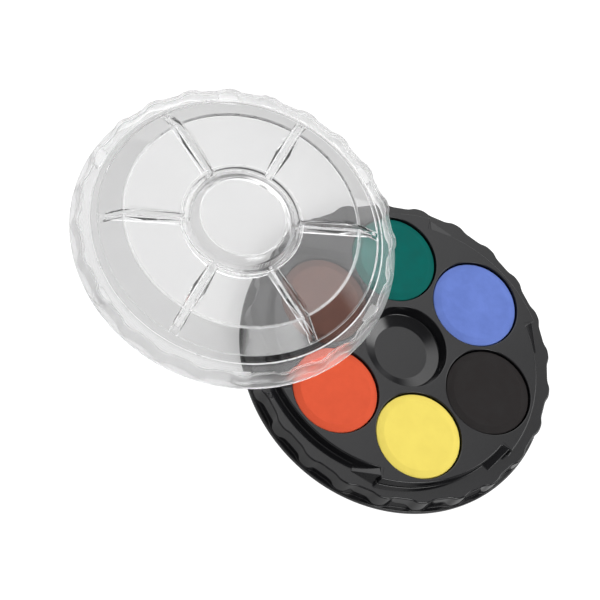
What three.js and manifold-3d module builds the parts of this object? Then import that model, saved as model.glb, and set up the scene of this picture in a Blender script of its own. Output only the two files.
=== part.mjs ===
// Round watercolour paint box: a black tray with six paint tablets round a mixing well,
// and its clear lid, taken off and leaning with one edge on the table and the other on the tray.
// Millimetres, +Z up. The origin lies on the table, in the middle of the whole arrangement.

import * as THREE from 'three';
import { mergeVertices } from 'three/addons/utils/BufferGeometryUtils.js';
import Module from 'manifold-3d';

const wasm = await Module();
wasm.setup();

// Paint tablets, named in rising angle about the tray
const TABLET_COLOURS = {
  tablet_black: 0x353434,
  tablet_blue: 0x4560cc,
  tablet_green: 0x057a66,
  tablet_brown: 0x66473d,
  tablet_red: 0xe04a30,
  tablet_yellow: 0xfbe44a,
};
const TABLET_DIAMETER = 22.5;
const TABLET_THICKNESS = 4.5;
const TABLET_BEVEL_WIDTH = 1.9;
const TABLET_BEVEL_DROP = 0.5;
const TABLET_CLEARANCE = 0.3;
const TABLET_SEAT_GAP = 0.3;
const TABLET_RECESS = 0.15;
const TABLET_ANGLE = THREE.MathUtils.degToRad(5.25);

// Tray
const TRAY_WALL = 1.2;
const RIM_HEIGHT = 6.3;
const DECK_STEP = 3.2;
const WELL_WEB = 0.9;
const CENTRE_WEB = 1.55;
const CENTRE_WALL_DEPTH = 3.2;
const CENTRE_WALL_DRAFT = 0.8;
const CENTRE_CHAMFER_WIDTH = 3;
const CENTRE_CHAMFER_DROP = 0.9;
const DECK_MARGIN = 1.95;
const CAM_RISE = 2.9;
const RIM_WIDTH = 3.6;
const RAMP_LENGTH = 7.4;
const RAMP_WIDTH = 2.1;
const STEP_ANGLE = THREE.MathUtils.degToRad(-18.25);

// Edge shared by the tray and the lid: a smooth lip under a fluted grip
const LIP_OVERHANG = 0.4;
const LIP_HEIGHT = 1.2;
const EDGE_CHAMFER = 0.3;
const FLUTE_COUNT = 24;
const FLUTE_DEPTH = 0.8;
const CREST_SHARE = 0.28;
const FLANK_SHARE = 0.13;

// Lid
const LID_MARGIN = 0.35;
const LID_WALL = 1;
const LID_SKIRT_HEIGHT = 5.2;
const LID_FLANGE_WIDTH = 4;
const LID_STEP_RUN = 1.4;
const LID_STEP_RISE = 1.7;
const LID_SLOPE_RUN = 5.8;
const LID_SLOPE_RISE = 4.1;
const BOSS_FOOT_RADIUS = 15.6;
const BOSS_RUN = 4.5;
const BOSS_RISE = 1.8;
const RIB_WIDTH = 2.3;
const RIB_DEPTH = 2.8;
const HUB_RADIUS = 12.9;
const LUG_REACH = 2.2;
const LUG_LENGTH = 5;
const LUG_HEIGHT = 1.6;
const LUG_LIFT = 0.8;
const LID_TURN = THREE.MathUtils.degToRad(29.6);

// How the lid lies: its edge reaches over the tray, and just clears the deck that it leans on
const LID_OVERLAP = 32.1;
const LEAN_GAP = 0.3;

// Finishes
const TRAY_PLASTIC = { color: 0x1b1b1d, roughness: 0.32, metalness: 0 };
const LID_PLASTIC = { color: 0xf2f3f4, roughness: 0.08, metalness: 0, transparent: true, opacity: 0.3 };
const PRESSED_PAINT = { roughness: 0.9, metalness: 0 };

// Counts, and the overrun of every cut
const ROUND_SEGMENTS = 96;
const CENTRE_SEGMENTS = 48;
const WELL_SEGMENTS = 36;
const CREST_POINTS = 2;
const VALLEY_POINTS = 3;
const CAM_POINTS = 10;
const LEAN_ROUNDS = 40;
const OVERRUN = 0.5;

// Counts, sizes and places that follow from the ones above
const sectorCount = Object.keys(TABLET_COLOURS).length;
const sector = (2 * Math.PI) / sectorCount;
const tabletRadius = TABLET_DIAMETER / 2;
const wellRadius = tabletRadius + TABLET_CLEARANCE;
const pitchRadius = (2 * wellRadius + WELL_WEB) / (2 * Math.sin(sector / 2));
const centreRadius = pitchRadius - wellRadius - CENTRE_WEB;
const deckHeight = RIM_HEIGHT + DECK_STEP;
const wellFloor = deckHeight - TABLET_RECESS - TABLET_THICKNESS - TABLET_SEAT_GAP;
const centreFloor = deckHeight - CENTRE_WALL_DEPTH - CENTRE_CHAMFER_DROP;
const camLargeRadius = pitchRadius + wellRadius + DECK_MARGIN;
const camSmallRadius = camLargeRadius - CAM_RISE;
const crestRadius = camLargeRadius + RIM_WIDTH;
const lipRadius = crestRadius + LIP_OVERHANG;
const lidCrestRadius = crestRadius + LID_MARGIN;
const lidLipRadius = lidCrestRadius + LIP_OVERHANG;
const lidInnerRadius = lidCrestRadius - LID_WALL;
const lidStepRadius = lidCrestRadius - LID_FLANGE_WIDTH;
const lidSlopeRadius = lidStepRadius - LID_STEP_RUN;
const lidSlopeHeight = LID_SKIRT_HEIGHT + LID_STEP_RISE;
const lidTopRadius = lidSlopeRadius - LID_SLOPE_RUN;
const lidTopHeight = lidSlopeHeight + LID_SLOPE_RISE;
const bossTopRadius = BOSS_FOOT_RADIUS - BOSS_RUN;
const bossTopHeight = lidTopHeight + BOSS_RISE;
const lidReach = lipRadius + lidLipRadius - LID_OVERLAP;

// Closed solid for joining and cutting, from a geometry's merged corners
function toSolid(geometry) {
  const bare = geometry.clone();
  bare.deleteAttribute('normal');
  bare.deleteAttribute('uv');
  const merged = mergeVertices(bare);
  const corners = merged.index.array;
  const triangles = [];
  for (let i = 0; i < corners.length; i += 3) {
    const [a, b, c] = [corners[i], corners[i + 1], corners[i + 2]];
    if (a !== b && b !== c && c !== a) triangles.push(a, b, c);
  }
  return new wasm.Manifold(new wasm.Mesh({
    numProp: 3,
    vertProperties: new Float32Array(merged.attributes.position.array),
    triVerts: new Uint32Array(triangles),
  }));
}

// Geometry of a joined and cut solid
function toGeometry(solid) {
  const mesh = solid.getMesh();
  const geometry = new THREE.BufferGeometry();
  geometry.setAttribute('position', new THREE.BufferAttribute(mesh.vertProperties, 3));
  geometry.setIndex(new THREE.BufferAttribute(mesh.triVerts, 1));
  geometry.computeVertexNormals();
  return geometry;
}

// Solid of revolution about Z, from [radius, height] pairs that run up the outside
function spun(profile, segments = ROUND_SEGMENTS) {
  const points = profile.map(([radius, height]) => new THREE.Vector2(radius, height));
  return new THREE.LatheGeometry(points, segments).rotateX(Math.PI / 2);
}

// Round bar about Z between two heights
function bar(radius, bottom, top, segments) {
  return spun([[0, bottom], [radius, bottom], [radius, top], [0, top]], segments);
}

// Upright prism over an outline of [x, y] pairs
function prism(outline, bottom, top) {
  const shape = new THREE.Shape(outline.map(([x, y]) => new THREE.Vector2(x, y)));
  const geometry = new THREE.ExtrudeGeometry(shape, { depth: top - bottom, bevelEnabled: false });
  return geometry.translate(0, 0, bottom);
}

// Upright prism like the one above, with an even chamfer round both of its ends
function chamferedPrism(outline, bottom, top) {
  const shape = new THREE.Shape(outline.map(([x, y]) => new THREE.Vector2(x, y)));
  const geometry = new THREE.ExtrudeGeometry(shape, {
    depth: top - bottom - 2 * EDGE_CHAMFER,
    bevelSegments: 1,
    bevelThickness: EDGE_CHAMFER,
    bevelSize: EDGE_CHAMFER,
    bevelOffset: -EDGE_CHAMFER,
  });
  return geometry.translate(0, 0, bottom + EDGE_CHAMFER);
}

// Copies of a geometry, turned in equal steps about Z from a first angle
function ringOf(geometry, count, firstAngle) {
  const copies = [];
  for (let i = 0; i < count; i += 1) {
    copies.push(toSolid(geometry.clone().rotateZ(firstAngle + (i * 2 * Math.PI) / count)));
  }
  return copies;
}

function joined(solid, others) {
  return others.reduce((sum, other) => sum.add(other), solid);
}

function cut(solid, others) {
  return others.reduce((rest, other) => rest.subtract(other), solid);
}

// [x, y] pairs along an arc about the origin
function arc(radius, start, end, points) {
  const pairs = [];
  for (let i = 0; i <= points; i += 1) {
    const angle = start + ((end - start) * i) / points;
    pairs.push([radius * Math.cos(angle), radius * Math.sin(angle)]);
  }
  return pairs;
}

// Outline of the fluted grip: short crests with long, even valleys between them
function gripOutline(radius, crestAngle) {
  const pitch = (2 * Math.PI) / FLUTE_COUNT;
  const halfCrest = (pitch * CREST_SHARE) / 2;
  const valleyStart = halfCrest + pitch * FLANK_SHARE;
  const outline = [];
  for (let index = 0; index < FLUTE_COUNT; index += 1) {
    const crest = crestAngle + index * pitch;
    outline.push(...arc(radius, crest - halfCrest, crest + halfCrest, CREST_POINTS));
    outline.push(...arc(radius - FLUTE_DEPTH, crest + valleyStart, crest + pitch - valleyStart, VALLEY_POINTS));
  }
  return outline;
}

// Fluted grip standing on its lip
function edge(radius, top, crestAngle) {
  const lip = toSolid(bar(radius + LIP_OVERHANG, 0, LIP_HEIGHT));
  return lip.add(toSolid(chamferedPrism(gripOutline(radius, crestAngle), 0, top)));
}

// Outline of the raised deck: in each sector the radius falls slowly, then steps out again
function camOutline(inset) {
  const outline = [];
  for (let index = 0; index < sectorCount; index += 1) {
    const start = TABLET_ANGLE + STEP_ANGLE + index * sector;
    for (let i = 0; i <= CAM_POINTS; i += 1) {
      const share = i / CAM_POINTS;
      const radius = camLargeRadius - share * CAM_RISE - inset;
      const angle = start + share * sector;
      outline.push([radius * Math.cos(angle), radius * Math.sin(angle)]);
    }
  }
  return outline;
}

// Wedge that climbs from the rim to the deck just before each step of the outline
function ramps() {
  const side = new THREE.Shape([
    new THREE.Vector2(-RAMP_LENGTH, RIM_HEIGHT - OVERRUN),
    new THREE.Vector2(OVERRUN, RIM_HEIGHT - OVERRUN),
    new THREE.Vector2(OVERRUN, deckHeight),
    new THREE.Vector2(0, deckHeight),
    new THREE.Vector2(-RAMP_LENGTH, RIM_HEIGHT),
  ]);
  const wedge = new THREE.ExtrudeGeometry(side, { depth: RAMP_WIDTH + OVERRUN, bevelEnabled: false });
  const along = new THREE.Matrix4().makeBasis(
    new THREE.Vector3(0, 1, 0),
    new THREE.Vector3(0, 0, 1),
    new THREE.Vector3(1, 0, 0),
  );
  wedge.applyMatrix4(along).translate(camSmallRadius - OVERRUN, 0, 0);
  return ringOf(wedge, sectorCount, TABLET_ANGLE + STEP_ANGLE);
}

// Space for one tablet, or its cup when a wall is added
function tabletSpaces(radius, bottom, top) {
  const space = bar(radius, bottom, top, WELL_SEGMENTS).translate(pitchRadius, 0, 0);
  return ringOf(space, sectorCount, TABLET_ANGLE);
}

// Mixing well: drafted wall, chamfer and flat floor, made larger all round by a wall
function centreSpace(wall, top) {
  const chamferTop = centreFloor + CENTRE_CHAMFER_DROP;
  const footRadius = centreRadius - CENTRE_WALL_DRAFT;
  return toSolid(spun([
    [0, centreFloor - wall],
    [footRadius - CENTRE_CHAMFER_WIDTH + wall, centreFloor - wall],
    [footRadius + wall, chamferTop - wall],
    [centreRadius + wall, deckHeight],
    [centreRadius + wall, top],
    [0, top],
  ], CENTRE_SEGMENTS));
}

// Outside of the tray: lip, fluted skirt, rim and cam-shaped deck
function trayOutside() {
  const deck = toSolid(prism(camOutline(0), RIM_HEIGHT - OVERRUN, deckHeight));
  return joined(edge(crestRadius, RIM_HEIGHT, TABLET_ANGLE).add(deck), ramps());
}

// Hollow under the tray, with the deck's plate and the skirt left round it
function trayUnderside() {
  const skirtInside = crestRadius - FLUTE_DEPTH - TRAY_WALL;
  const low = toSolid(bar(skirtInside, -OVERRUN, RIM_HEIGHT - TRAY_WALL));
  const high = toSolid(prism(camOutline(TRAY_WALL), 0, deckHeight - TRAY_WALL));
  return low.add(high);
}

function trayGeometry() {
  const shell = trayOutside().subtract(trayUnderside());
  const cups = tabletSpaces(wellRadius + WELL_WEB, wellFloor - TRAY_WALL, deckHeight - TRAY_WALL / 2);
  const cupped = joined(shell, [...cups, centreSpace(TRAY_WALL, deckHeight)]);
  const spaces = tabletSpaces(wellRadius, wellFloor, deckHeight + OVERRUN);
  return toGeometry(cut(cupped, [...spaces, centreSpace(0, deckHeight + OVERRUN)]));
}

// Pressed cake of paint: straight side and a bevel up to its flat top
function tabletGeometry() {
  return spun([
    [0, 0],
    [tabletRadius, 0],
    [tabletRadius, TABLET_THICKNESS - TABLET_BEVEL_DROP],
    [tabletRadius - TABLET_BEVEL_WIDTH, TABLET_THICKNESS],
    [0, TABLET_THICKNESS],
  ], WELL_SEGMENTS);
}

// Outward unit normal of a profile's side that runs inwards from one corner to the next
function sideNormal([radius, height], [nextRadius, nextHeight]) {
  const length = Math.hypot(nextRadius - radius, nextHeight - height);
  return [(nextHeight - height) / length, (radius - nextRadius) / length];
}

// Profile between two level ends, moved inwards by a depth with each side parallel to itself
function sunk(profile, depth) {
  const level = [0, 1];
  return profile.map((corner, i) => {
    const before = i === 0 ? level : sideNormal(profile[i - 1], corner);
    const after = i === profile.length - 1 ? level : sideNormal(corner, profile[i + 1]);
    const scale = depth / (1 + before[0] * after[0] + before[1] * after[1]);
    return [corner[0] - scale * (before[0] + after[0]), corner[1] - scale * (before[1] + after[1])];
  });
}

// Top of the lid, moved inwards by a depth: step, slope, flat ring and raised centre
function lidTop(depth) {
  return sunk([
    [lidStepRadius, LID_SKIRT_HEIGHT],
    [lidSlopeRadius, lidSlopeHeight],
    [lidTopRadius, lidTopHeight],
    [BOSS_FOOT_RADIUS, lidTopHeight],
    [bossTopRadius, bossTopHeight],
    [0, bossTopHeight],
  ], depth);
}

// Dome over the lid's edge, moved inwards by a depth
function dome(depth) {
  const top = lidTop(depth);
  const [[footRadius]] = top;
  return toSolid(spun([[0, 0], [footRadius, 0], ...top]));
}

function lidOutside() {
  return edge(lidCrestRadius, LID_SKIRT_HEIGHT, 0).add(dome(0));
}

// Inside of the lid: its skirt is fluted as on the outside, down to a plain ring inside the lip
function lidInside() {
  const ring = toSolid(bar(lidInnerRadius, -OVERRUN, LIP_HEIGHT - LID_WALL));
  const grip = toSolid(prism(gripOutline(lidInnerRadius, 0), -OVERRUN, LID_SKIRT_HEIGHT - LID_WALL));
  return ring.add(grip).add(dome(LID_WALL));
}

// Dividers under the top: a hub ring below the raised centre, and straight ones from it to the slope
function ribs() {
  const bottom = lidTopHeight - LID_WALL - RIB_DEPTH;
  const height = bossTopHeight - bottom;
  const start = HUB_RADIUS + RIB_WIDTH / 2;
  const length = lidStepRadius - start;
  const rib = new THREE.BoxGeometry(length, RIB_WIDTH, height);
  rib.translate(start + length / 2, 0, bottom + height / 2);
  const disc = toSolid(bar(HUB_RADIUS + RIB_WIDTH, bottom, bossTopHeight));
  const hub = disc.subtract(toSolid(bar(HUB_RADIUS, bottom - OVERRUN, bossTopHeight + OVERRUN)));
  return joined(hub, ringOf(rib, sectorCount, 0)).intersect(dome(LID_WALL / 2));
}

// Small lugs inside the skirt, midway between the dividers, that catch on the deck's outline
function lugs() {
  const length = LUG_REACH + LID_WALL / 2;
  const lug = new THREE.BoxGeometry(length, LUG_LENGTH, LUG_HEIGHT);
  lug.translate(lidInnerRadius - LUG_REACH + length / 2, 0, LUG_LIFT + LUG_HEIGHT / 2);
  return ringOf(lug, sectorCount, sector / 2);
}

function lidGeometry() {
  const shell = lidOutside().subtract(lidInside());
  return toGeometry(joined(shell, [ribs(), ...lugs()]));
}

// Tilt at which the far lip lies on the table and the lip's inner edge on the deck's edge
function leanAngle() {
  const spread = lidReach ** 2 + lidInnerRadius ** 2 - camLargeRadius ** 2;
  const contact = spread / (2 * lidReach);
  let angle = 0;
  for (let round = 0; round < LEAN_ROUNDS; round += 1) {
    angle = Math.asin((deckHeight + LEAN_GAP) / (lidLipRadius + contact / Math.cos(angle)));
  }
  return angle;
}

function named(name, geometry, finish) {
  const mesh = new THREE.Mesh(geometry, new THREE.MeshStandardMaterial(finish));
  mesh.name = name;
  return mesh;
}

// Tray with its six tablets, standing on the table
function filledTray() {
  const group = new THREE.Group();
  group.add(named('tray', trayGeometry(), TRAY_PLASTIC));
  Object.entries(TABLET_COLOURS).forEach(([name, color], index) => {
    const tablet = named(name, tabletGeometry(), { color, ...PRESSED_PAINT });
    const angle = TABLET_ANGLE + index * sector;
    tablet.position.set(pitchRadius * Math.cos(angle), pitchRadius * Math.sin(angle), wellFloor + TABLET_SEAT_GAP);
    group.add(tablet);
  });
  return group;
}

// Lid leaning on the tray, on its -X side
function leaningLid() {
  const tilt = leanAngle();
  const lid = named('lid', lidGeometry(), LID_PLASTIC);
  lid.rotation.z = LID_TURN;
  const group = new THREE.Group();
  group.position.set(-lidReach, 0, lidLipRadius * Math.sin(tilt));
  group.rotation.y = -tilt;
  group.add(lid);
  return group;
}

// The whole arrangement, with the middle of its outline on the table at the origin
function paintBox() {
  const box = new THREE.Group();
  box.add(filledTray(), leaningLid());
  box.updateMatrixWorld(true);
  const bounds = new THREE.Box3().setFromObject(box, true);
  const middle = bounds.getCenter(new THREE.Vector3());
  box.position.set(-middle.x, -middle.y, -bounds.min.z);
  return box;
}

export default paintBox();
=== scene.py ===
import math

import bmesh
import bpy
from mathutils import Matrix, Vector, noise
from mathutils.geometry import tessellate_polygon


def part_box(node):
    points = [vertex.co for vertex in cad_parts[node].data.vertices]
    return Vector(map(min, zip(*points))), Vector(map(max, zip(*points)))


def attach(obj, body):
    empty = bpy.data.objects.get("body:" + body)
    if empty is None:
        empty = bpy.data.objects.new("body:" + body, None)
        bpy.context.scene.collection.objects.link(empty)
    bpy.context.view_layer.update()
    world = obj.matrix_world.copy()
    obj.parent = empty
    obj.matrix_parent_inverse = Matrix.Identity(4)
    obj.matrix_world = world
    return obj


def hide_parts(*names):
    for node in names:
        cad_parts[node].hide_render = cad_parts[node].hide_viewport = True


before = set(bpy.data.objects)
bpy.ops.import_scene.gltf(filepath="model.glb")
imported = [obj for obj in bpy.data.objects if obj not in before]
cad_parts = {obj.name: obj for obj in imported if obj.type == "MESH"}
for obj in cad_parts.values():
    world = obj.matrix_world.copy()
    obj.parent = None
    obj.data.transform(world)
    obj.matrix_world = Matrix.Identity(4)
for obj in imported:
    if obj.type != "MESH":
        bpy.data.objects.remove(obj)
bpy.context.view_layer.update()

MM = 0.001
TURN = 2 * math.pi

# Tablets, in rising angle about the tray
TABLETS = ["tablet_black", "tablet_blue", "tablet_green", "tablet_brown", "tablet_red", "tablet_yellow"]
SECTOR = TURN / len(TABLETS)
TABLET_ANGLE = math.radians(5.25)
TABLET_RADIUS = 11.25
TABLET_THICKNESS = 4.5
TABLET_BEVEL_WIDTH = 1.9
TABLET_BEVEL_DROP = 0.5
TABLET_FACE_ROUND = 1.6
TABLET_EDGE_ROUND = 0.25
TABLET_FOOT_ROUND = 0.2
TABLET_SAMPLES = 144
TABLET_RINGS = 24

# Unevenness of a pressed face, which sinks a little so that it stays below the CAD's
RELIEF_DEPTH = 0.012
RELIEF_SINK = 0.02
RELIEF_MARGIN = 0.4
RELIEF_SEED_STEP = 7.3
RELIEF_WAVES = [(0.35, 1), (1.3, 0.5), (4, 0.25)]  # pitch, share

# Tray
PITCH_RADIUS = 24
WELL_RADIUS = 11.55
WELL_FLOOR = 4.55
WELL_FILLET = 0.25
WELL_SAMPLES = 96
CENTRE_RADIUS = 10.9
CENTRE_FLOOR = 5.4
CENTRE_DRAFT = 0.8
CENTRE_CHAMFER_WIDTH = 3
CENTRE_CHAMFER_DROP = 0.9
CENTRE_CHAMFER_ROUND = 0.35
CENTRE_FLOOR_ROUND = 0.5
CENTRE_SAMPLES = 160
DECK_HEIGHT = 9.5
DECK_FILLET = 0.35
RIM_HEIGHT = 6.3
FOOT_FILLET = 0.3
CAM_LARGE_RADIUS = 37.5
CAM_RISE = 2.9
CAM_FALL_SAMPLES = 60
CAM_STEP_SAMPLES = 16
STEP_ANGLE = math.radians(-13)
STEP_SHARE = 0.03
RAMP_LENGTH = 7.4
RAMP_WIDTH = 2.1
RAMP_CREST = 0.2
RAMP_START = 0.05
RAMP_OVERLAP = 0.3
RAMP_SINK = 0.5
RAMP_ROUND = 0.22
TRAY_WALL = 1.2
WELL_WEB = 0.9
CUP_SAMPLES = 40
UNDER_ROUND = 0.2
UNDER_RIM_ROUND = 0.3

# Edge of the tray and the lid
LIP_OVERHANG = 0.4
LIP_HEIGHT = 1.2
LIP_ROUND = 0.3
CREST_RADIUS = 41.1
FLUTE_DEPTH = 0.8
FLUTE_COUNT = 24
FLUTE_SAMPLES = 36
CREST_HALF_SHARE = 0.204
CREST_SOFT_SHARE = 0.045
GRIP_DRAFT = 0.2
GRIP_FILLET = 0.4
GRIP_FOOT_FILLET = 0.2
GRIP_SAMPLES = FLUTE_COUNT * FLUTE_SAMPLES

# Lid, and how it leans on the tray
LID_CREST_RADIUS = 41.45
LID_WALL = 1
LID_SKIRT_HEIGHT = 5.2
LID_STEP_RADIUS = 37.45
LID_SLOPE_RADIUS = 36.05
LID_SLOPE_HEIGHT = 6.9
LID_TOP_RADIUS = 30.25
LID_TOP_HEIGHT = 11
BOSS_FOOT_RADIUS = 15.6
BOSS_TOP_RADIUS = 11.1
BOSS_TOP_HEIGHT = 12.8
LID_FOOT_ROUND = 0.12
LID_LEDGE_ROUND = 0.05
LID_UNDER_ROUND = 0.4
LID_TURN = math.radians(29.6)
LID_TILT = math.asin(0.14)
LID_REACH = 51.25

# Dividers under the lid, made of a folded sheet: channels lie over them
RIB_WIDTH = 2.3
RIB_DEPTH = 2.8
HUB_RADIUS = 12.9
HUB_SAMPLES = 240
DIVIDER_ROUND = 0.45
SHEET = 0.6
CHANNEL_ROUND = 0.1
CHANNEL_OVERRUN = 1
COLLAR_TOP_ROUND = 0.05
LUG_REACH = 2.2
LUG_LENGTH = 5
LUG_HEIGHT = 1.6
LUG_LIFT = 0.8
LUG_ROUND = 0.2

# Rounding radii of the lid's edges and the strength of the painted highlight lines along them: boss top,
# boss foot, top, slope and step
OUTER_ROUNDS = (0.9, 0.9, 1.6, 1.2, 0.6)
INNER_ROUNDS = (0.6, 0.6, 0.6, 0.4, 0.2)
# Painted highlight: white lines along the rounded edges that stand in for light caught inside the clear
# plastic
OUTER_PAINTED_HIGHLIGHTS = (0.6, 0.8, 0.4, 0.5, 0.9)
INNER_PAINTED_HIGHLIGHTS = (0.5, 0.6, 0.5, 0.4, 0.7)
HUB_PAINTED_HIGHLIGHTS = (0.8, 0.5)
RIB_PAINTED_HIGHLIGHT = 0.85
HIGHLIGHT_SPREAD = 2.5

# Finish of the lid's faces, as [painted milkiness, softness]: the painted milkiness is a white diffuse share
# that stands in for light caught and refracted by the clear plastic
CLEAR = (0, 0)
# Painted milkiness on the skirt, dividers, hub and boss, standing in for light refracted through them
SKIRT_FINISH = (0.06, 0.28)
DIVIDER_FINISH = (0.2, 0.15)
HUB_FINISH = (0.1, 0)
BOSS_FINISH = (0.05, 0)
FACE_SLACK = 0.05
UPRIGHT_LIMIT = 0.3

# Studio
SKY_LIGHT = 0.15
FLOOR_LIGHT = 0.38
FLOOR_SEEN = 0.95
FLOOR_GREY = 0.25
FLOOR_HALF = 3
FLOOR_DROP = 0.00005
SOFTBOXES = [
    # azimuth, elevation, outer and inner half angles in degrees, strength
    (-125, 15, 60, 35, 0.45),
    (80, 2, 28, 14, 1.6),
    (122, 53, 34, 14, 2.3),
    (40, 43, 17, 10, 5),
    (-25, 49, 20, 10, 5.5),
    (44, 19, 22, 8, 1.5),
]

# Camera
CAMERA_AZIMUTH = math.radians(-9.99)
CAMERA_ELEVATION = math.radians(58.88)
CAMERA_ROLL = math.radians(42.15)
CAMERA_DISTANCE = 1013.9
CAMERA_TARGET = Vector((-28.24, -0.32, 0))
CAMERA_LENS = 240
CAMERA_SENSOR = 36
CAMERA_FAR = 50

# Materials: a tone and a roughness are pairs, and a grain has so many parts per metre
BLACK_TONES = ((0.007, 0.007, 0.008), (0.010, 0.010, 0.0115))
BLACK_ROUGHNESS = (0.08, 0.13)
BLACK_IOR = 1.5
BLACK_WEAR = 90
BLACK_GRAIN = 900
BLACK_GRAIN_DEPTH = 0.000004
CLEAR_TONES = ((0.93, 0.93, 0.935), (0.95, 0.95, 0.95))
CLEAR_ROUGHNESS = (0.01, 0.04)
CLEAR_IOR = 1.49
CLEAR_WEAR = 60
HIGHLIGHT_GRAIN = 700
HIGHLIGHT_STRENGTH = (0.65, 1)
HIGHLIGHT_ROUGHNESS = (0, 0.4)
PAINTED_WHITE_TRANSMISSION = (1, 0.05)
GRAIN_RANGE = (0.3, 0.7)
PAINT_ROUGHNESS = (0.75, 0.9)
PAINT_IOR = 1.4
PAINT_SPECULAR = 0.2
PAINT_MOTTLE = 260
PAINT_GRAIN = 2400
PAINT_GRAIN_DEPTH = 0.00002
PAINT_TONES = {
    "tablet_black": ((0.021, 0.018, 0.018), (0.026, 0.024, 0.024)),
    "tablet_blue": ((0.125, 0.194, 0.550), (0.152, 0.232, 0.635)),
    "tablet_green": ((0.0002, 0.102, 0.088), (0.0004, 0.122, 0.104)),
    "tablet_brown": ((0.085, 0.037, 0.027), (0.107, 0.047, 0.035)),
    "tablet_red": ((0.670, 0.088, 0.036), (0.730, 0.102, 0.043)),
    "tablet_yellow": ((0.850, 0.690, 0.132), (0.890, 0.730, 0.146)),
}


def middle(node):
    """Middle of a CAD node's box, in millimetres."""
    low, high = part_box(node)
    return (low + high) / (2 * MM)


tray_axis = Vector((middle("tray").x, middle("tray").y, 0))


def spot(radius, angle):
    """Point at a radius and an angle."""
    return (radius * math.cos(angle), radius * math.sin(angle))


def linked(name, data):
    """Object with this data, in the scene."""
    made = bpy.data.objects.new(name, data)
    bpy.context.scene.collection.objects.link(made)
    return made


# Meshes
class Skin:
    """Points, normals and faces of one closed piece."""

    def __init__(self):
        self.points = []
        self.normals = []
        self.faces = []

    def row(self, points, normals):
        first = len(self.points)
        self.points.extend(points)
        self.normals.extend(normals)
        return list(range(first, len(self.points)))

    def join(self, first, second):
        count = len(first)
        for i in range(count):
            j = (i + 1) % count
            self.faces.append((first[i], first[j], second[j], second[i]))

    def strip(self, rows):
        for first, second in zip(rows, rows[1:]):
            self.join(first, second)

    def fan(self, row, point, normal):
        (tip,) = self.row([point], [normal])
        count = len(row)
        for i in range(count):
            self.faces.append((row[i], row[(i + 1) % count], tip))

    def fill(self, outline, holes=()):
        loops = [outline, *holes]
        corners = [index for loop in loops for index in loop]
        triangles = tessellate_polygon([[self.points[index] for index in loop] for loop in loops])
        self.faces.extend(tuple(corners[i] for i in triangle) for triangle in triangles)


class Outline:
    """Closed outline of [x, y] points with its outward normals."""

    def __init__(self, points):
        self.points = [Vector(point) for point in points]
        self.normals = []
        count = len(points)
        for i in range(count):
            along = self.points[(i + 1) % count] - self.points[i - 1]
            self.normals.append(Vector((along.y, -along.x)).normalized())

    def sweep(self, skin, profile):
        """Rows of points where the profile is carried along the outline."""
        rows = []
        for across, height, normal_across, normal_up in profile:
            flat = [point + normal * across for point, normal in zip(self.points, self.normals)]
            rows.append(skin.row(
                [Vector((place.x, place.y, height)) for place in flat],
                [Vector((n.x * normal_across, n.y * normal_across, normal_up)) for n in self.normals],
            ))
        skin.strip(rows)
        return rows


def circle(count, centre=(0, 0)):
    """Outline of no radius: its profile's across values are radii."""
    outline = Outline([spot(1, TURN * i / count) for i in range(count)])
    outline.normals = [point.copy() for point in outline.points]
    outline.points = [Vector(centre) for _ in outline.points]
    return outline


def grip_outline(crest_radius, first_crest):
    """Fluted outline: short crests with wide even valleys between them."""
    points = []
    for i in range(GRIP_SAMPLES):
        angle = TURN * i / GRIP_SAMPLES
        phase = ((angle - first_crest) * FLUTE_COUNT / TURN + 0.5) % 1 - 0.5
        share = 1 / (1 + math.exp((abs(phase) - CREST_HALF_SHARE) / CREST_SOFT_SHARE))
        points.append(spot(crest_radius - FLUTE_DEPTH * (1 - share), angle))
    return Outline(points)


def cam_outline(inset=0):
    """Outline of the raised deck: in each sector the radius falls slowly, then steps out again."""
    falling = [(1 - STEP_SHARE) * i / CAM_FALL_SAMPLES for i in range(CAM_FALL_SAMPLES)]
    stepping = [1 - STEP_SHARE * (1 - i / CAM_STEP_SAMPLES) for i in range(CAM_STEP_SAMPLES)]
    points = []
    for sector in range(len(TABLETS)):
        for share in falling + stepping:
            radius = CAM_LARGE_RADIUS - CAM_RISE * share
            late = max(0, (share - 1 + STEP_SHARE) / STEP_SHARE)
            radius += (CAM_LARGE_RADIUS - radius) * late * late * (3 - 2 * late)
            points.append(spot(radius - inset, STEP_ANGLE + (sector + share) * SECTOR))
    return Outline(points)


def flower():
    """Outline of the six cups together, seen from below."""
    cup = WELL_RADIUS + WELL_WEB
    points = []
    for sector in range(len(TABLETS)):
        for i in range(CUP_SAMPLES):
            off = (i / CUP_SAMPLES - 0.5) * SECTOR
            radius = PITCH_RADIUS * math.cos(off) + math.sqrt(cup ** 2 - (PITCH_RADIUS * math.sin(off)) ** 2)
            points.append(spot(radius, TABLET_ANGLE + sector * SECTOR + off))
    return Outline(points)


def rounded(corners, steps=6):
    """Profile through [across, height, radius] corners, as [across, height, normal across, normal up].

    The first and the last corner only give the way in and out.
    """
    found = []
    for before, corner, after in zip(corners, corners[1:], corners[2:]):
        here = Vector(corner[:2])
        arriving = (here - Vector(before[:2])).normalized()
        leaving = (Vector(after[:2]) - here).normalized()
        turn = math.atan2(arriving.cross(leaving), arriving.dot(leaving))
        setback = corner[2] * math.tan(abs(turn) / 2)
        start = here - arriving * setback
        side = Vector((-arriving.y, arriving.x)) * math.copysign(1, turn)
        centre = start + side * corner[2]
        for step in range(steps + 1):
            angle = turn * step / steps
            spoke = Matrix.Rotation(angle, 2) @ (start - centre)
            way = Matrix.Rotation(angle, 2) @ arriving
            place = centre + spoke
            found.append((place.x, place.y, way.y, -way.x))
    return found


def outward(profile):
    """The same profile with its normals turned round."""
    return [(across, height, -normal, -up) for across, height, normal, up in profile]


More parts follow.
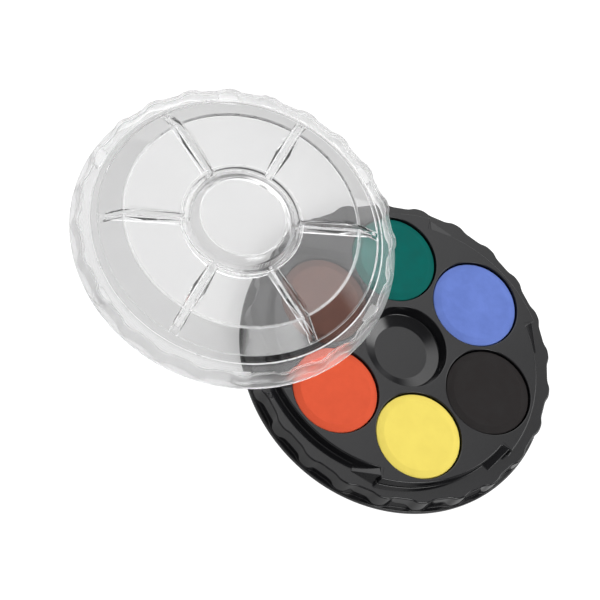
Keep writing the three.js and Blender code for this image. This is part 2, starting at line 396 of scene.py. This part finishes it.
def piece(name, skin, place=Matrix()):
    """Object from a skin, with its own normals, placed in millimetres."""
    mesh = bpy.data.meshes.new(name)
    mesh.from_pydata([place @ point * MM for point in skin.points], [], skin.faces)
    shell = bmesh.new()
    shell.from_mesh(mesh)
    bmesh.ops.recalc_face_normals(shell, faces=shell.faces)
    shell.to_mesh(mesh)
    shell.free()
    mesh.shade_smooth()
    turned = place.to_3x3()
    mesh.normals_split_custom_set_from_vertices([(turned @ normal).normalized() for normal in skin.normals])
    return linked(name, mesh)


def prism(name, near, far, softness, clamp=False):
    """Bar between two outlines of as many points in metres, with softened edges."""
    bar = bmesh.new()
    first = [bar.verts.new(point) for point in near]
    second = [bar.verts.new(point) for point in far]
    bar.faces.new(first)
    bar.faces.new(second[::-1])
    for i in range(len(first)):
        j = (i + 1) % len(first)
        bar.faces.new((first[j], first[i], second[i], second[j]))
    bmesh.ops.bevel(
        bar, geom=bar.edges[:], offset=softness * MM, segments=3, profile=0.5,
        affect="EDGES", clamp_overlap=clamp,
    )
    bmesh.ops.recalc_face_normals(bar, faces=bar.faces)
    mesh = bpy.data.meshes.new(name)
    bar.to_mesh(mesh)
    bar.free()
    mesh.shade_smooth()
    return linked(name, mesh)


# Tray
def well_rows(skin, centre):
    """Hole in the deck for one tablet, with its floor."""
    wall = rounded([
        (WELL_RADIUS + 1, DECK_HEIGHT, 0),
        (WELL_RADIUS, DECK_HEIGHT, WELL_FILLET),
        (WELL_RADIUS, WELL_FLOOR, WELL_FILLET),
        (0, WELL_FLOOR, 0),
    ])
    rows = circle(WELL_SAMPLES, centre).sweep(skin, wall)
    skin.fan(rows[-1], Vector((*centre, WELL_FLOOR)), Vector((0, 0, 1)))
    return rows[0]


def centre_rows(skin):
    """Mixing well: drafted wall, chamfer and flat floor."""
    foot = CENTRE_RADIUS - CENTRE_DRAFT
    wall = rounded([
        (CENTRE_RADIUS + 1, DECK_HEIGHT, 0),
        (CENTRE_RADIUS, DECK_HEIGHT, WELL_FILLET),
        (foot, CENTRE_FLOOR + CENTRE_CHAMFER_DROP, CENTRE_CHAMFER_ROUND),
        (foot - CENTRE_CHAMFER_WIDTH, CENTRE_FLOOR, CENTRE_FLOOR_ROUND),
        (0, CENTRE_FLOOR, 0),
    ], 8)
    rows = circle(CENTRE_SAMPLES).sweep(skin, wall)
    skin.fan(rows[-1], Vector((0, 0, CENTRE_FLOOR)), Vector((0, 0, 1)))
    return rows[0]


def edge_profiles(top, lip_radius):
    """Grip from its top fillet down to the ledge, and the lip from there to the bottom."""
    grip = rounded([
        (-3, top, 0),
        (-GRIP_DRAFT, top, GRIP_FILLET),
        (0, LIP_HEIGHT, GRIP_FOOT_FILLET),
        (0.5, LIP_HEIGHT, 0),
    ])
    lip = rounded([
        (lip_radius - 1, LIP_HEIGHT, 0),
        (lip_radius, LIP_HEIGHT, LIP_ROUND),
        (lip_radius, 0, LIP_ROUND / 2),
        (lip_radius - 1, 0, 0),
    ])
    return outward(grip), outward(lip)


def recess(start, end):
    """Profile of a wall of the tray's underside, from one height to another."""
    return outward(rounded([
        (1, start, 0),
        (0, start, UNDER_ROUND),
        (0, end, UNDER_ROUND),
        (-1, end, 0),
    ], 4))


def make_tray():
    skin = Skin()
    side = rounded([
        (-2, DECK_HEIGHT, 0),
        (0, DECK_HEIGHT, DECK_FILLET),
        (0, RIM_HEIGHT, FOOT_FILLET),
        (2, RIM_HEIGHT, 0),
    ])
    deck_rows = cam_outline().sweep(skin, outward(side))
    wells = [well_rows(skin, spot(PITCH_RADIUS, TABLET_ANGLE + i * SECTOR)) for i in range(len(TABLETS))]
    skin.fill(deck_rows[0], [*wells, centre_rows(skin)])
    grip, lip = edge_profiles(RIM_HEIGHT, CREST_RADIUS + LIP_OVERHANG)
    grip_rows = grip_outline(CREST_RADIUS, TABLET_ANGLE).sweep(skin, grip)
    skin.fill(grip_rows[0], [deck_rows[-1]])
    ring = circle(GRIP_SAMPLES)
    lip_rows = ring.sweep(skin, lip)
    skin.join(grip_rows[-1], lip_rows[0])
    rim_under = RIM_HEIGHT - TRAY_WALL
    deck_under = DECK_HEIGHT - TRAY_WALL
    inside = CREST_RADIUS - FLUTE_DEPTH - TRAY_WALL
    skirt_rows = ring.sweep(skin, outward(rounded([
        (inside + 1, 0, 0),
        (inside, 0, UNDER_ROUND),
        (inside, rim_under, UNDER_RIM_ROUND),
        (inside - 1, rim_under, 0),
    ])))
    skin.join(lip_rows[-1], skirt_rows[0])
    hollow_rows = cam_outline(TRAY_WALL).sweep(skin, recess(rim_under, deck_under))
    skin.fill(skirt_rows[-1], [hollow_rows[0]])
    flower_rows = flower().sweep(skin, recess(deck_under, WELL_FLOOR - TRAY_WALL))
    skin.fill(hollow_rows[-1], [flower_rows[0]])
    skin.fill(flower_rows[-1])
    return piece("tray_shell", skin, Matrix.Translation(tray_axis))


def make_ramp(index):
    """Wedge that climbs from the rim to the deck just before a step of the outline."""
    inner = CAM_LARGE_RADIUS - CAM_RISE - RAMP_SINK
    outer = CAM_LARGE_RADIUS - CAM_RISE + RAMP_WIDTH
    low = RIM_HEIGHT - RAMP_SINK
    place = Matrix.Translation(tray_axis) @ Matrix.Rotation(STEP_ANGLE + index * SECTOR, 4, "Z")
    side = [
        (-RAMP_LENGTH, low),
        (RAMP_OVERLAP, low),
        (RAMP_OVERLAP, DECK_HEIGHT),
        (-RAMP_CREST, DECK_HEIGHT),
        (-RAMP_LENGTH, RIM_HEIGHT + RAMP_START),
    ]
    near = [place @ Vector((outer, y, z)) * MM for y, z in side]
    far = [place @ Vector((inner, y, z)) * MM for y, z in side]
    made = prism(f"tray_ramp_{index + 1}", near, far, RAMP_ROUND, clamp=True)
    made.modifiers.new("even_shading", "WEIGHTED_NORMAL").keep_sharp = False
    return made


# Tablets
def cake_relief(x, y, seed):
    """Fine unevenness of a pressed cake's face."""
    place = Vector((x, y, seed * RELIEF_SEED_STEP))
    return RELIEF_DEPTH * sum(share * noise.noise(place * pitch) for pitch, share in RELIEF_WAVES)


def make_tablet(name, index):
    bottom = middle(name).z - TABLET_THICKNESS / 2
    top = bottom + TABLET_THICKNESS
    flat = TABLET_RADIUS - TABLET_BEVEL_WIDTH
    profile = outward(rounded([
        (flat - 1, top, 0),
        (flat, top, TABLET_FACE_ROUND),
        (TABLET_RADIUS, top - TABLET_BEVEL_DROP, TABLET_EDGE_ROUND),
        (TABLET_RADIUS, bottom, TABLET_FOOT_ROUND),
        (0, bottom, 0),
    ], 8))
    inner = profile[0][0]
    face = [(inner * i / TABLET_RINGS, top, 0, 1) for i in range(1, TABLET_RINGS)]
    skin = Skin()
    rows = circle(TABLET_SAMPLES).sweep(skin, face + profile)
    skin.fan(rows[0], Vector((0, 0, top)), Vector((0, 0, 1)))
    skin.fan(rows[-1], Vector((0, 0, bottom)), Vector((0, 0, -1)))
    for point in skin.points:
        reach = math.hypot(point.x, point.y)
        if point.z > top - TABLET_BEVEL_DROP and reach < TABLET_RADIUS - RELIEF_MARGIN:
            point.z += cake_relief(point.x, point.y, index) - RELIEF_SINK
    centre = spot(PITCH_RADIUS, TABLET_ANGLE + index * SECTOR)
    return piece(name + "_cake", skin, Matrix.Translation(tray_axis + Vector((*centre, 0))))


# Lid
def lid_place():
    lowest = LID_CREST_RADIUS + LIP_OVERHANG
    place = Matrix.Translation(tray_axis + Vector((-LID_REACH, 0, lowest * math.sin(LID_TILT))))
    return place @ Matrix.Rotation(-LID_TILT, 4, "Y") @ Matrix.Rotation(LID_TURN, 4, "Z")


def shifted(depth):
    """Corners of the lid's top, moved inwards by a depth with each side parallel to itself."""
    path = [Vector(corner) for corner in (
        (0, BOSS_TOP_HEIGHT),
        (BOSS_TOP_RADIUS, BOSS_TOP_HEIGHT),
        (BOSS_FOOT_RADIUS, LID_TOP_HEIGHT),
        (LID_TOP_RADIUS, LID_TOP_HEIGHT),
        (LID_SLOPE_RADIUS, LID_SLOPE_HEIGHT),
        (LID_STEP_RADIUS, LID_SKIRT_HEIGHT),
        (LID_CREST_RADIUS, LID_SKIRT_HEIGHT),
    )]
    found = []
    for before, corner, after in zip(path, path[1:], path[2:]):
        arriving = (corner - before).normalized()
        leaving = (after - corner).normalized()
        first = Vector((-arriving.y, arriving.x))
        second = Vector((-leaving.y, leaving.x))
        found.append(corner - (first + second) * depth / (1 + first.dot(second)))
    return found


def dome_profile(depth, radii):
    corners = [(*corner, radius) for corner, radius in zip(shifted(depth), radii)]
    height = corners[0][1]
    foot = corners[-1]
    return rounded([(0, height, 0), *corners, (foot[0] + 2, foot[1], 0)])


def make_lid():
    inner_ring = LID_CREST_RADIUS - LID_WALL
    ledge = LIP_HEIGHT - LID_WALL
    under = LID_SKIRT_HEIGHT - LID_WALL
    grip, lip = edge_profiles(LID_SKIRT_HEIGHT, LID_CREST_RADIUS + LIP_OVERHANG)
    inner_lip = outward(rounded([
        (inner_ring + 1, 0, 0),
        (inner_ring, 0, LID_FOOT_ROUND),
        (inner_ring, ledge, LID_LEDGE_ROUND),
        (inner_ring - 0.1, ledge, 0),
    ], 4))
    inner_grip = outward(rounded([
        (0.5, ledge, 0),
        (0, ledge, LID_LEDGE_ROUND),
        (0, under, LID_UNDER_ROUND),
        (-1, under, 0),
    ], 4))
    below = dome_profile(LID_WALL, INNER_ROUNDS)[::-1]
    skin = Skin()
    ring = circle(GRIP_SAMPLES)
    rows = ring.sweep(skin, outward(dome_profile(0, OUTER_ROUNDS)))
    first = rows[0]
    last = rows[-1]
    outer_wave = grip_outline(LID_CREST_RADIUS, 0)
    inner_wave = grip_outline(inner_ring, 0)
    for outline, profile in (
        (outer_wave, grip), (ring, lip), (ring, inner_lip), (inner_wave, inner_grip), (ring, below),
    ):
        rows = outline.sweep(skin, profile)
        skin.join(last, rows[0])
        last = rows[-1]
    skin.fan(first, Vector((0, 0, BOSS_TOP_HEIGHT)), Vector((0, 0, 1)))
    skin.fan(last, Vector((0, 0, BOSS_TOP_HEIGHT - LID_WALL)), Vector((0, 0, -1)))
    return with_dividers_and_lugs(piece("lid_shell", skin, lid_place()))


def block(name, corners, width, angle, softness):
    """Bar with softened edges: an upright outline of [along, height] corners, given a width."""
    place = lid_place() @ Matrix.Rotation(angle, 4, "Z")
    near = [place @ Vector((x, -width / 2, z)) * MM for x, z in corners]
    far = [place @ Vector((x, width / 2, z)) * MM for x, z in corners]
    return prism(name, near, far, softness)


def collar(name, inner, outer, tops, bottom, softness):
    """Ring of four sides with softened lower edges: tops are its heights at both radii."""
    inner_top, outer_top = tops
    skin = Skin()
    rows = circle(HUB_SAMPLES).sweep(skin, outward(rounded([
        (inner, inner_top, 0),
        (outer, outer_top, COLLAR_TOP_ROUND),
        (outer, bottom, softness),
        (inner, bottom, softness),
        (inner, inner_top, COLLAR_TOP_ROUND),
        (outer, outer_top, 0),
    ], 4)))
    skin.join(rows[-1], rows[0])
    return piece(name, skin, lid_place())


def divider_solids(bottom):
    """Solids joined to the shell: the round divider, the straight ones and the lugs."""
    within = LID_TOP_HEIGHT - LID_WALL / 2
    outer = HUB_RADIUS + RIB_WIDTH
    rise = (BOSS_TOP_HEIGHT - LID_TOP_HEIGHT) / (BOSS_FOOT_RADIUS - BOSS_TOP_RADIUS)
    tops = [within + (BOSS_FOOT_RADIUS - radius) * rise for radius in (HUB_RADIUS, outer)]
    start = HUB_RADIUS + RIB_WIDTH / 2
    end = divider_end(bottom)
    rib = [(start, bottom), (end, bottom), (LID_TOP_RADIUS, within), (start, within)]
    inner = LID_CREST_RADIUS - LID_WALL
    lug = [
        (inner - LUG_REACH, LUG_LIFT),
        (inner + LID_WALL / 2, LUG_LIFT),
        (inner + LID_WALL / 2, LUG_LIFT + LUG_HEIGHT),
        (inner - LUG_REACH, LUG_LIFT + LUG_HEIGHT),
    ]
    made = [collar("hub", HUB_RADIUS, outer, tops, bottom, DIVIDER_ROUND)]
    for i in range(len(TABLETS)):
        made.append(block(f"rib_{i}", rib, RIB_WIDTH, i * SECTOR, DIVIDER_ROUND))
        made.append(block(f"lug_{i}", lug, LUG_LENGTH, (i + 0.5) * SECTOR, LUG_ROUND))
    return made


def divider_end(bottom):
    """Radius where a straight divider's foot meets the slope."""
    slope = (LID_TOP_HEIGHT - LID_SLOPE_HEIGHT) / (LID_SLOPE_RADIUS - LID_TOP_RADIUS)
    return LID_TOP_RADIUS + (LID_TOP_HEIGHT - LID_WALL / 2 - bottom) / slope


def channel_solids(bottom):
    """Solids taken out of the shell from above, over its dividers."""
    floor = bottom + SHEET
    tops = [BOSS_TOP_HEIGHT + CHANNEL_OVERRUN] * 2
    start = HUB_RADIUS + RIB_WIDTH / 2
    end = divider_end(bottom) - SHEET
    top = LID_TOP_HEIGHT + CHANNEL_OVERRUN
    side = [(start, floor), (end, floor), (end, top), (start, top)]
    outer = HUB_RADIUS + RIB_WIDTH - SHEET
    made = [collar("hub_groove", HUB_RADIUS + SHEET, outer, tops, floor, CHANNEL_ROUND)]
    for i in range(len(TABLETS)):
        made.append(block(f"groove_{i}", side, RIB_WIDTH - 2 * SHEET, i * SECTOR, CHANNEL_ROUND))
    return made


def with_dividers_and_lugs(shell):
    """The lid with its dividers, channels and lugs as one closed mesh."""
    bottom = LID_TOP_HEIGHT - LID_WALL - RIB_DEPTH
    added = divider_solids(bottom)
    taken = channel_solids(bottom)
    for solid in added + taken:
        step = shell.modifiers.new(solid.name, "BOOLEAN")
        step.operation = "UNION" if solid in added else "DIFFERENCE"
        step.object = solid
        step.solver = "MANIFOLD"
    evaluated = shell.evaluated_get(bpy.context.evaluated_depsgraph_get())
    whole = bpy.data.meshes.new_from_object(evaluated)
    shell.modifiers.clear()
    shell.data = whole
    whole.materials.clear()
    mark_faces(whole, bottom)
    for solid in added + taken:
        bpy.data.objects.remove(solid)
    shell.modifiers.new("even_shading", "WEIGHTED_NORMAL").keep_sharp = False
    return shell


def rounded_edges(depth, radii, lines):
    """Rounded corners of the lid's profile, as [place, farthest and nearest distance, painted highlight
    strength].
    """
    path = [Vector((0, shifted(depth)[0].y)), *shifted(depth)]
    path.append(path[-1] + Vector((1, 0)))
    found = []
    for before, corner, after, radius, line in zip(path, path[1:], path[2:], radii, lines):
        half_turn = (corner - before).angle(after - corner) / 2
        found.append((corner, radius * math.tan(half_turn), radius / math.cos(half_turn) - radius, line))
    return found


def painted_highlight(off, far, close, line):
    """Painted highlight whiteness at a distance off an edge that is rounded between two distances."""
    return line * min(1, HIGHLIGHT_SPREAD * (far - off) / (far - close))


def beside(point):
    """Distance of a point from the middle of the nearest straight divider."""
    around = (math.atan2(point.y, point.x) / SECTOR + 0.5) % 1 - 0.5
    return abs(math.hypot(point.x, point.y) * math.sin(around * SECTOR))


def mark_faces(mesh, bottom):
    """Face attributes of the lid: painted highlight lines along its rounded edges, painted milkiness and its
    softness.
    """
    back = lid_place().inverted()
    turned_back = back.to_3x3().normalized()
    edges = rounded_edges(0, OUTER_ROUNDS, OUTER_PAINTED_HIGHLIGHTS) + rounded_edges(LID_WALL, INNER_ROUNDS, INNER_PAINTED_HIGHLIGHTS)
    close = DIVIDER_ROUND * (math.sqrt(2) - 1)
    hub_outer = HUB_RADIUS + RIB_WIDTH
    for radius, line in zip((HUB_RADIUS, hub_outer), HUB_PAINTED_HIGHLIGHTS):
        edges.append((Vector((radius, bottom)), DIVIDER_ROUND, close, line))
    lines = []
    finishes = []
    for face in mesh.polygons:
        point = back @ (face.center / MM)
        reach = math.hypot(point.x, point.y)
        found = [0]
        for corner, far, near, line in edges:
            found.append(painted_highlight(math.hypot(reach - corner.x, point.z - corner.y), far, near, line))
        if reach > hub_outer:
            off = math.hypot(beside(point) - RIB_WIDTH / 2, point.z - bottom)
            found.append(painted_highlight(off, DIVIDER_ROUND, close, RIB_PAINTED_HIGHLIGHT))
        lines.append(max(found))
        finishes.append(face_finish(point, turned_back @ face.normal))
    painted_milkiness, softness = zip(*finishes)
    # Stores the painted highlight lines and the painted milkiness as face attributes
    for name, values in (("painted_edge_highlight", lines), ("painted_milkiness", painted_milkiness), ("softness", softness)):
        mesh.attributes.new(name, "FLOAT", "FACE").data.foreach_set("value", values)
    mesh.update()


def face_finish(point, normal):
    """Painted milkiness and softness of one face of the lid, from its middle and its normal in the lid's own
    frame.
    """
    reach = math.hypot(point.x, point.y)
    if reach > LID_CREST_RADIUS - FLUTE_DEPTH - LID_WALL - 4 * FACE_SLACK:
        return SKIRT_FINISH
    if BOSS_TOP_RADIUS < reach < BOSS_FOOT_RADIUS and point.z > LID_TOP_HEIGHT:
        return BOSS_FINISH
    if point.z > LID_TOP_HEIGHT - LID_WALL - FACE_SLACK and reach > BOSS_FOOT_RADIUS:
        return CLEAR
    off_hub = abs(reach - HUB_RADIUS - RIB_WIDTH / 2)
    if off_hub < RIB_WIDTH / 2 + FACE_SLACK and point.z < LID_TOP_HEIGHT:
        return HUB_FINISH
    upright = abs(normal.z) < UPRIGHT_LIMIT
    radial = abs(normal.x * point.x + normal.y * point.y) > reach / 2
    if upright and not radial and abs(beside(point) - RIB_WIDTH / 2) < 2 * FACE_SLACK:
        return DIVIDER_FINISH
    return CLEAR


# Materials
class Finish:
    """A material with one shader and the nodes that feed it."""

    def __init__(self, name):
        self.material = bpy.data.materials.new(name)
        self.material.use_nodes = True
        self.nodes = self.material.node_tree.nodes
        self.shader = self.nodes["Principled BSDF"]

    def link(self, source, socket):
        self.material.node_tree.links.new(source, socket)

    def feed(self, source, name):
        self.link(source, self.shader.inputs[name])

    def fix(self, name, value):
        self.shader.inputs[name].default_value = value

    def grain(self, scale, detail=3):
        """Noise of a number of grains per metre."""
        place = self.nodes.new("ShaderNodeTexCoord")
        made = self.nodes.new("ShaderNodeTexNoise")
        made.inputs["Scale"].default_value = scale
        made.inputs["Detail"].default_value = detail
        self.link(place.outputs["Object"], made.inputs["Vector"])
        return made.outputs["Fac"]

    def attribute(self, name):
        made = self.nodes.new("ShaderNodeAttribute")
        made.attribute_name = name
        return made.outputs["Fac"]

    def ranged(self, source, low, high, start=0, end=1):
        """A value from start to end turned into a range from low to high."""
        made = self.nodes.new("ShaderNodeMapRange")
        made.inputs["From Min"].default_value = start
        made.inputs["From Max"].default_value = end
        made.inputs["To Min"].default_value = low
        made.inputs["To Max"].default_value = high
        self.link(source, made.inputs["Value"])
        return made.outputs["Result"]

    def spread(self, grain, low, high):
        """A grain, most of which lies in the middle of its range, spread over a range."""
        return self.ranged(grain, low, high, *GRAIN_RANGE)

    def joined(self, operation, first, second):
        made = self.nodes.new("ShaderNodeMath")
        made.operation = operation
        self.link(first, made.inputs[0])
        self.link(second, made.inputs[1])
        return made.outputs["Value"]

    def colour(self, grain, first, second):
        """Base colour of two tones that follow a grain."""
        made = self.nodes.new("ShaderNodeMix")
        made.data_type = "RGBA"
        made.inputs[6].default_value = (*first, 1)
        made.inputs[7].default_value = (*second, 1)
        self.link(self.spread(grain, 0, 1), made.inputs[0])
        self.feed(made.outputs[2], "Base Color")

    def bump(self, grain, distance):
        made = self.nodes.new("ShaderNodeBump")
        made.inputs["Distance"].default_value = distance
        made.inputs["Strength"].default_value = 1
        self.link(grain, made.inputs["Height"])
        self.feed(made.outputs["Normal"], "Normal")


def black_plastic():
    finish = Finish("black_plastic")
    wear = finish.grain(BLACK_WEAR, 5)
    finish.colour(wear, *BLACK_TONES)
    finish.feed(finish.spread(wear, *BLACK_ROUGHNESS), "Roughness")
    finish.fix("IOR", BLACK_IOR)
    finish.bump(finish.grain(BLACK_GRAIN), BLACK_GRAIN_DEPTH)
    return finish.material


def paint(name):
    finish = Finish(name.replace("tablet", "paint"))
    mottle = finish.grain(PAINT_MOTTLE, 6)
    finish.colour(mottle, *PAINT_TONES[name])
    finish.feed(finish.spread(mottle, *PAINT_ROUGHNESS), "Roughness")
    finish.fix("IOR", PAINT_IOR)
    finish.fix("Specular IOR Level", PAINT_SPECULAR)
    finish.bump(finish.grain(PAINT_GRAIN, 4), PAINT_GRAIN_DEPTH)
    return finish.material


def clear_plastic():
    """Clear plastic with painted highlight lines on its edges, painted milkiness in places, and a little
    worn.
    """
    finish = Finish("clear_plastic")
    wear = finish.grain(CLEAR_WEAR, 5)
    finish.colour(wear, *CLEAR_TONES)
    finish.fix("IOR", CLEAR_IOR)
    # Painted highlight lines along the rounded edges, broken up by a grain
    broken = finish.spread(finish.grain(HIGHLIGHT_GRAIN, 2), *HIGHLIGHT_STRENGTH)
    line = finish.joined("MULTIPLY", finish.attribute("painted_edge_highlight"), broken)
    # Painted white from the highlight lines and the painted milkiness: it lowers transmission, so the pale
    # base colour shows as white
    painted_white = finish.joined("MAXIMUM", line, finish.attribute("painted_milkiness"))
    finish.feed(finish.ranged(painted_white, *PAINTED_WHITE_TRANSMISSION), "Transmission Weight")
    rough = finish.joined("ADD", finish.spread(wear, *CLEAR_ROUGHNESS), finish.attribute("softness"))
    finish.feed(finish.joined("ADD", rough, finish.ranged(line, *HIGHLIGHT_ROUGHNESS)), "Roughness")
    return finish.material


# Studio
def add_world():
    """Even sky with soft boxes that fade out at their edges."""
    world = bpy.data.worlds.new("studio")
    bpy.context.scene.world = world
    world.use_nodes = True
    nodes = world.node_tree.nodes
    links = world.node_tree.links
    direction = nodes.new("ShaderNodeTexCoord")
    total = None
    for azimuth, elevation, outer, inner, strength in SOFTBOXES:
        around = math.radians(azimuth)
        up = math.radians(elevation)
        dot = nodes.new("ShaderNodeVectorMath")
        dot.operation = "DOT_PRODUCT"
        dot.inputs[1].default_value = (*spot(math.cos(up), around), math.sin(up))
        links.new(direction.outputs["Generated"], dot.inputs[0])
        fade = nodes.new("ShaderNodeMapRange")
        fade.interpolation_type = "SMOOTHSTEP"
        fade.inputs["From Min"].default_value = math.cos(math.radians(outer))
        fade.inputs["From Max"].default_value = math.cos(math.radians(inner))
        links.new(dot.outputs["Value"], fade.inputs["Value"])
        blend = nodes.new("ShaderNodeMix")
        blend.inputs["A"].default_value = SKY_LIGHT
        blend.inputs["B"].default_value = strength
        links.new(fade.outputs["Result"], blend.inputs["Factor"])
        if total is not None:
            links.new(total, blend.inputs["A"])
        total = blend.outputs["Result"]
    background = nodes["Background"]
    background.inputs["Color"].default_value = (1, 1, 1, 1)
    links.new(total, background.inputs["Strength"])


def add_floor():
    """Pale floor: near white to the camera, and darker as a source of light on the object."""
    corners = [(-1, -1), (1, -1), (1, 1), (-1, 1)]
    mesh = bpy.data.meshes.new("floor")
    mesh.from_pydata([(x * FLOOR_HALF, y * FLOOR_HALF, 0) for x, y in corners], [], [(0, 1, 2, 3)])
    floor = linked("floor", mesh)
    floor.location.z = -FLOOR_DROP
    finish = Finish("floor")
    finish.fix("Base Color", (FLOOR_GREY, FLOOR_GREY, FLOOR_GREY, 1))
    finish.fix("Roughness", 1)
    finish.fix("Specular IOR Level", 0)
    finish.fix("Emission Color", (1, 1, 1, 1))
    seen = finish.nodes.new("ShaderNodeLightPath").outputs["Is Camera Ray"]
    finish.feed(finish.ranged(seen, FLOOR_LIGHT, FLOOR_SEEN), "Emission Strength")
    mesh.materials.append(finish.material)


def add_camera():
    data = bpy.data.cameras.new("camera")
    data.lens = CAMERA_LENS
    data.sensor_width = CAMERA_SENSOR
    data.sensor_height = CAMERA_SENSOR
    data.clip_end = CAMERA_FAR
    camera = linked("camera", data)
    turn = Matrix.Rotation(CAMERA_AZIMUTH, 4, "Z")
    turn = turn @ Matrix.Rotation(math.pi / 2 - CAMERA_ELEVATION, 4, "X")
    turn = turn @ Matrix.Rotation(CAMERA_ROLL, 4, "Z")
    target = Matrix.Translation((CAMERA_TARGET + tray_axis) * MM)
    camera.matrix_world = target @ turn @ Matrix.Translation((0, 0, CAMERA_DISTANCE * MM))
    bpy.context.scene.camera = camera


def finish_piece(made, finish, body, slot, *nodes):
    made.data.materials.append(finish)
    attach(made, body)
    if nodes:
        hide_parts(*nodes)


black = black_plastic()
finish_piece(make_tray(), black, "tray", "black_plastic", "tray")
for index in range(len(TABLETS)):
    finish_piece(make_ramp(index), black, "tray", "black_plastic")
for index, name in enumerate(TABLETS):
    finish_piece(make_tablet(name, index), paint(name), "tray", name.replace("tablet", "paint"), name)
lid = make_lid()
finish_piece(lid, clear_plastic(), "lid", "clear_plastic", "lid")
# Cycles would give the clear shell a solid dark shadow
lid.visible_shadow = False

add_world()
add_floor()
add_camera()
bpy.context.scene.view_settings.view_transform = "Standard"
